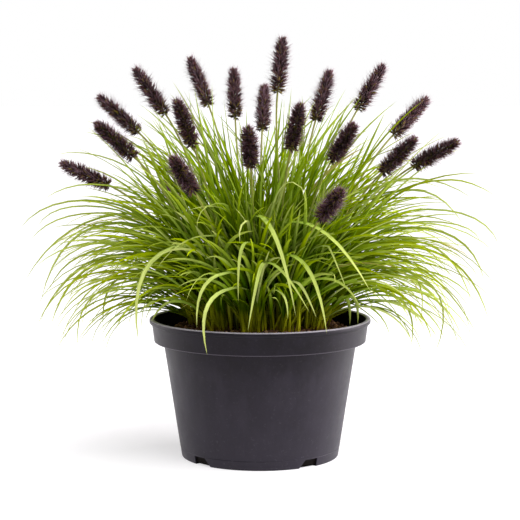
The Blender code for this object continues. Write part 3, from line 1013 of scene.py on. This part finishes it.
def try_blade(shoot, share, chance):
    """A blade of a shoot, or nothing where none has room."""
    azimuth, radius, leans, fan = shoot[:-1]
    offset = Vector((chance.gauss(0, 1), chance.gauss(0, 1), 0)) * SHOOT_SPREAD / 2
    start = radius * heading(azimuth, 90) + offset
    start.z = mix_height(start.x, start.y) - 1 * MM
    lean = leans[0] + (leans[1] - leans[0]) * share ** LEAN_POWER
    way = azimuth + chance.uniform(-1, 1) * fan * (FAN_STEEP - FAN_CLOSES * share)
    lean *= read_row(from_front(way), ((FRONT_CALM[0], CALM_LEAN), (FRONT_CALM[1], 1)))
    tip = read_row(lean, FOUNTAIN) + chance.gauss(0, TIP_STRAYS)
    length = read_row(lean, FOUNTAIN, 2)
    length *= chance.uniform(SHORT_SHARES[lean > SHORT_LEAN], LONG_SHARE)
    length *= read_row(from_front(way), ((FRONT_CALM[0], CALM_LENGTH), (FRONT_CALM[1], 1)))
    drift = chance.gauss(0, DRIFTS[lean > DRIFT_LEAN])
    power = chance.uniform(*BEND_POWERS)
    stiffness = chance.uniform(0, STIFFEST)
    roll = chance.choice((-1, 1)) * chance.uniform(*BLADE_ROLLS)
    width = chance.uniform(*BLADE_WIDTHS) * read_row(from_front(way), FRONT_BREADTH)
    width *= read_row(lean, STEEP_BREADTH)
    dead = chance.random() < DEAD_SHARE
    tone = chance.random()
    tone = ODD_TONE + tone * 0.5 if dead else tone ** read_row(lean, TONE_POWER)
    reach = chance.uniform(*REACH_SHARES)
    longest = length
    while length > SHORTEST * longest:
        bend = (tip - lean) * (length / longest) ** stiffness
        line = bending_line(start, way, (lean, lean + bend), length, drift, power)
        blade = Blade(line, roll, width, tone, read_row(lean, STEEP_TAPER))
        if blade.has_room(reach) and not blade.fouls_spike():
            return blade
        length *= SHRINKING
    return None


def grow_blade(shoot, number, chance):
    """Try blades in a blade's place, each more upright than the last, until one has room."""
    blade = None
    for attempt in range(TRIES):
        share = (number + chance.random()) / shoot[-1] * (1 - attempt / TRIES)
        blade = blade or try_blade(shoot, share, chance)
    return blade


leaf = Finish("grass blade")
along = leaf.number("along")
tone = leaf.number("tone")
across = leaf.number("across")
fresh = leaf.ramp(
    tone,
    (0.0, paint(22, 42, 0)),
    (1.0, paint(198, 210, 124)),
    (0.5, paint(66, 108, 0)),
    (0.88, paint(138, 178, 0)),
)
tip_colour = leaf.mixed(tone * tone, paint(160, 188, 0), paint(216, 222, 128))
# Painted light: blades far from the axis turn paler and yellower, standing in for light on the
# outside of the clump.
painted_sunlight_colour = leaf.mixed(tone * tone, paint(206, 206, 16), paint(214, 220, 146))
dead_colour = leaf.mixed(along, paint(136, 128, 30), paint(194, 184, 100))
vein_place = leaf.node("CombineXYZ", {}, {0: across * 12, 1: tone * 400, 2: along * 5})
veins = leaf.clouds(1, 3, 0.6, vein_place)
blotches = leaf.clouds(45, 3, 0.6)
leaf.cover(
    # Painted shade at the foot, pale tip, painted sunlight on the outside of the clump, veins,
    # margins, sheath and its brown base, dead blades, and blotches
    Base_Color=leaf.painted(
        fresh,
        (paint(44, 58, 0), along, 0.15, 0.55, 0.8, 0.0),
        (tip_colour, along, 0.46, 0.95, 0.0, 0.88),
        (painted_sunlight_colour, leaf.radius(), 100 * MM, 235 * MM, 0.0, 0.48),
        (paint(88, 114, 0), veins, 0.42, 0.62, 0.0, 0.38),
        (paint(96, 120, 0), across * (1 - across), 0.02, 0.12, 0.45, 0.0),
        (paint(200, 202, 36), along, 0.05, 0.28, 0.85, 0.0),
        (paint(140, 86, 38), along, 0.0, 0.07, 0.8, 0.0),
        (dead_colour, tone, 1.4, 1.6),
        (paint(70, 92, 0), blotches, 0.4, 0.7, 0.0, 0.25),
    ),
    Roughness=leaf.between(blotches, 0.3, 0.7, 0.42, 0.62),
    Specular_IOR_Level=0.0,
)

# Blades placed one by one: place of the root, of the top of the arch and of the tip, in mm,
# how far the hanging part swings out as a share of its reach, width in mm and roll
FRONT_BLADES = (
    ((-20, -20), (-87, -95, 277), (-143, -150, 163), 1.28, 6.5, -30),
    ((0, -30), (-67, -150, 293), (-118, -195, 260), 0.56, 4.5, 25),
    ((-8, -30), (-52, -150, 331), (-73, -185, 299), 1.05, 4.1, 20),
    ((0, -20), (-64, -140, 327), (-81, -170, 325), 0.47, 3.1, 20),
    ((-10, -30), (-16, -170, 312), (-23, -205, 289), 1.38, 4.3, -5),
    ((-12, -40), (-40, -150, 249), (-73, -190, 190), 1.09, 5.2, -25),
    ((0, -40), (-33, -150, 231), (-61, -195, 159), 1.54, 5.3, -25),
    ((5, -30), (-16, -155, 286), (-25, -190, 219), 1.20, 5.5, 5),
    ((12, -30), (4, -165, 262), (-14, -205, 188), 0.30, 5.5, 0),
    ((-12, -20), (-3, -120, 315), (41, -215, 206), 0.55, 6.2, 12),
    ((10, -30), (33, -140, 270), (77, -200, 184), 0.74, 6.0, 12),
    ((-15, -20), (45, -95, 305), (129, -165, 229), 0.51, 7.1, 14),
    ((2, -35), (11, -150, 261), (57, -205, 209), 0.35, 4.5, 15),
    ((20, -40), (43, -150, 238), (65, -195, 202), 0.35, 4.1, 20),
    ((8, -40), (22, -155, 228), (32, -190, 200), 1.07, 3.8, 0),
    ((40, -25), (81, -120, 278), (102, -165, 229), 0.10, 3.1, 15),
    ((0, -70), (38, -150, 356), (54, -165, 332), 0.80, 3.2, 10),
)
LEFT_BLADES = (
    ((-62, 5), (-218, -10, 325), (-301, -15, 289), 0.69, 3.4, 60),
    ((-66, -20), (-201, -35, 311), (-284, -45, 277), 0.71, 3.0, 50),
    ((-60, 30), (-222, 30, 315), (-285, 35, 288), 0.76, 3.0, 55),
    ((-70, -15), (-156, -25, 310), (-294, -30, 224), 0.65, 3.4, 60),
    ((-70, 10), (-175, 10, 255), (-286, 10, 159), 0.62, 3.4, 50),
    ((-74, -20), (-161, -40, 258), (-258, -60, 173), 0.75, 4.8, 55),
    ((-76, -25), (-142, -60, 231), (-221, -95, 152), 1.09, 5.0, 45),
    ((-78, 15), (-164, 20, 226), (-201, 25, 155), 1.11, 3.6, 50),
    ((-84, -20), (-118, -50, 209), (-194, -80, 153), 0.62, 3.2, 40),
    ((-84, -20), (-116, -60, 223), (-144, -90, 171), 1.05, 3.6, 40),
    ((-68, 20), (-197, 20, 295), (-273, 25, 249), 0.37, 3.0, 55),
    ((-76, 0), (-179, -10, 264), (-265, -15, 212), 0.76, 3.4, 60),
    ((-70, -10), (-173, -20, 298), (-274, -25, 200), 0.77, 4.2, 55),
    ((-52, -10), (-209, -25, 346), (-267, -35, 328), 0.59, 3.2, 50),
    ((-46, 30), (-243, 40, 383), (-264, 44, 379), 0.60, 3.0, 50),
)
RIGHT_BLADES = (
    ((52, 0), (240, 0, 350), (296, 0, 330), 0.45, 3.2, -55),
    ((56, -20), (192, -25, 353), (264, -35, 328), 0.52, 3.4, -50),
    ((60, 20), (194, 20, 336), (260, 25, 290), 0.58, 3.4, -60),
    ((64, -10), (210, -15, 314), (299, -20, 269), 0.81, 3.2, -55),
    ((66, 25), (210, 30, 295), (282, 35, 269), 0.88, 3.0, -50),
    ((70, 0), (190, -10, 291), (282, -15, 223), 0.82, 4.0, -60),
    ((72, 10), (183, 10, 264), (292, 10, 168), 0.76, 3.6, -55),
    ((74, -20), (148, -40, 258), (268, -70, 161), 0.57, 3.6, -50),
    ((72, 25), (185, 30, 271), (273, 35, 187), 0.74, 3.4, -60),
    ((76, -20), (137, -55, 247), (212, -85, 139), 1.55, 5.0, -45),
    ((78, 10), (152, 15, 237), (243, 20, 172), 0.55, 3.2, -50),
    ((78, 30), (151, 40, 242), (208, 50, 161), 1.26, 3.2, -50),
    ((84, -20), (126, -50, 204), (187, -75, 151), 0.80, 3.6, -40),
    ((84, 15), (130, 20, 209), (194, 25, 133), 1.21, 3.8, -50),
    ((86, -10), (111, -40, 199), (151, -60, 172), 0.30, 3.2, -40),
)
RIM_BLADES = (
    ((-62, -50), (-112, -50, 206), (-150, -40, 187), 0.60, 5.6, 45),
    ((-58, -66), (-104, -68, 205), (-133, -70, 180), 0.60, 5.6, 45),
    ((70, -50), (103, -50, 208), (111, -52, 172), 1.20, 6.0, -60),
    ((76, -44), (112, -46, 208), (121, -48, 173), 1.20, 5.8, -60),
)
# The tallest blades: place of the root and of the tip, how far up the handle of its bow stands
# from the middle between them, width and roll
TALL_BLADES = (
    ((-50, -10), (-128, -20, 430), 25, 3.6, 65),
    ((-40, -10), (-88, -30, 462), -40, 3.0, 60),
    ((-18, -30), (-80, -60, 466), -30, 4.6, 70),
    ((-10, 10), (-46, 20, 450), 10, 2.8, 50),
    ((-12, -10), (-17, -30, 443), 0, 3.0, 15),
    ((10, -10), (39, -20, 466), -15, 3.2, -50),
    ((15, -10), (23, -40, 435), 10, 3.0, 25),
    ((25, -20), (108, -40, 447), 40, 3.6, -60),
    ((40, -20), (134, -60, 412), 25, 4.0, -50),
    ((50, 10), (158, 10, 436), 25, 4.4, -70),
    ((50, 20), (170, 30, 426), 60, 3.0, -50),
    ((-48, -20), (-167, -30, 402), 30, 4.2, 60),
    ((-45, 10), (-147, 20, 410), 45, 3.0, 50),
    ((54, -10), (221, -20, 377), 60, 3.2, -50),
    ((-50, -20), (-142, -30, 400), 10, 4.4, 65),
    ((-46, -25), (-132, -35, 398), 8, 4.4, 65),
    ((-54, -15), (-152, -25, 392), 12, 4.4, 65),
    ((-50, -18), (-148, -28, 410), 6, 4.4, 65),
    ((-52, -10), (-190, -20, 330), 55, 4.4, 60),
    ((46, -20), (176, -30, 360), 40, 4.2, -60),
    ((50, -20), (170, -30, 338), 45, 4.2, -60),
)
TALL_TONES = (0.3, 0.7)


def bowed_line(root, tip, bow):
    """Points of a blade that stands up from its root to its tip."""
    handle = (root + tip) / 2 + Vector((0, 0, bow))
    return [curve(root, handle, tip, step / BLADE_STEPS) for step in range(BLADE_STEPS + 1)]


def add_leaves(name, blades):
    """One piece of some blades."""
    points, faces, alongs, acrosses, tones, maps = [], [], [], [], [], []
    for number, blade in enumerate(blades):
        blade.add_to(points, faces, alongs, acrosses, tones, maps, number, len(blades))
    leaves = add_mesh(name, points, faces, leaf)
    leaves.data.set_sharp_from_angle(angle=KEEL_EDGE)
    add_numbers(leaves, along=alongs, across=acrosses, tone=tones)
    add_map(leaves, maps)
    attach(leaves, "root")
    return leaves


chance = random.Random(300)
# Painted light: the front and rim blades get the palest tones, which stand in for light shining on
# and through them.
for name, table, ease, tones in (
    ("leaves_front", FRONT_BLADES, STEEP_RISE, (0.88, 1.0)),
    ("leaves_left", LEFT_BLADES, EASY_RISE, (0.35, 0.85)),
    ("leaves_right", RIGHT_BLADES, EASY_RISE, (0.35, 0.85)),
    ("leaves_rim", RIM_BLADES, EASY_RISE, (0.88, 0.94)),
):
    blades = []
    for (x, y), top, tip, bulge, width, roll in table:
        root = on_mix(x * MM, y * MM)
        line = arched_line(root, Vector(top) * MM, Vector(tip) * MM, bulge, ease)
        blades.append(Blade(line, roll, width * MM, chance.uniform(*tones), LONG_TAPER))
    add_leaves(name, blades)

blades = []
for (x, y), tip, bow, width, roll in TALL_BLADES:
    line = bowed_line(on_mix(x * MM, y * MM), Vector(tip) * MM, bow * MM)
    blades.append(Blade(line, roll, width * MM, chance.uniform(*TALL_TONES), LONG_TAPER))
add_leaves("leaves_tall", blades)

leaf_number = 0
for count, first, radius, leans, fan, blades in SHOOT_RINGS:
    for place in range(count):
        leaf_number += 1
        turn = SHOOT_START + 360 * (place + first) / count
        chance = random.Random(200 + leaf_number)
        shoot = (turn, radius, leans, fan, blades)
        grown = [grow_blade(shoot, number, chance) for number in range(blades)]
        leaves = add_leaves(f"leaves_{leaf_number:02d}", [blade for blade in grown if blade])
        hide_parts(f"leaf_tuft_{leaf_number:02d}")

# Studio
# A white table without end under a wide soft light from above, with a weak softbox at each
# side, in pale surroundings. The camera stands where the photographer's stood.

FLOOR_SIDE = 60.0
SUN_WATTS = 3.95  # on a square metre
SUN_WIDTH = 60  # degrees across
SUN_PLACE = (0.35, -0.36, 1.0)
DIM = 0.16  # light of the surroundings, as a share of the white that the camera sees
STRIP_PLACES = ((-1.5, 0.6, 0.5, 15), (1.5, 0.3, 0.5, 40))  # places, each with its watts
STRIP_SIDE = 1.2
STRIP_COLOUR = (1.0, 0.95, 1.0)
CAMERA_PLACE = (0, -2.1517, 0.4722)
CAMERA_PITCH = 5.93  # degrees down
CAMERA_LENS = 118.65  # mm, on a sensor of the width below
CAMERA_SENSOR = 36

paper = Finish("white studio paper")
paper_shade = paper.mixed(paper.clouds(3), paint(186, 185, 187), paint(190, 189, 190))
paper.cover(
    Base_Color=paper_shade,
    Roughness=0.9,
    Specular_IOR_Level=0.0,
    Emission_Color=paint(255, 254, 255),
    Emission_Strength=0.55,
)
half = FLOOR_SIDE / 2
floor = add_mesh(
    "studio_floor",
    [(-half, -half, 0), (half, -half, 0), (half, half, 0), (-half, half, 0)],
    [(0, 1, 2, 3)],
    paper,
)

world = bpy.data.worlds.new("white surroundings")
world.use_nodes = True
tree = world.node_tree
white = tree.nodes["Background"]
dim = tree.nodes.new("ShaderNodeBackground")
for glow, strength in ((white, 1.0), (dim, DIM)):
    glow.inputs["Color"].default_value = paint(255, 255, 255)
    glow.inputs["Strength"].default_value = strength
seen = tree.nodes.new("ShaderNodeLightPath")
choice = tree.nodes.new("ShaderNodeMixShader")
tree.links.new(seen.outputs["Is Camera Ray"], choice.inputs["Fac"])
tree.links.new(dim.outputs[0], choice.inputs[1])
tree.links.new(white.outputs[0], choice.inputs[2])
tree.links.new(choice.outputs[0], tree.nodes["World Output"].inputs["Surface"])
bpy.context.scene.world = world


def add_light(name, kind, place, power):
    """A light that shines from its place towards the foot of the pot."""
    light = bpy.data.lights.new(name, kind)
    light.energy = power
    lamp = add_object(name, light)
    lamp.location = place
    lamp.rotation_euler = Vector(place).to_track_quat("Z", "Y").to_euler()
    return lamp


softbox = add_light("overhead softbox", "SUN", SUN_PLACE, SUN_WATTS)
softbox.data.angle = math.radians(SUN_WIDTH)
for *place, watts in STRIP_PLACES:
    strip = add_light("strip softbox", "AREA", place, watts)
    strip.data.shape = "SQUARE"
    strip.data.size = STRIP_SIDE
    strip.data.color = STRIP_COLOUR
    strip.visible_camera = False

camera = add_object("camera", bpy.data.cameras.new("camera"))
camera.location = CAMERA_PLACE
camera.rotation_euler = (math.radians(90 - CAMERA_PITCH), 0, 0)
camera.data.sensor_width = CAMERA_SENSOR
camera.data.lens = CAMERA_LENS
bpy.context.scene.camera = camera
bpy.context.scene.view_settings.view_transform = "Standard"
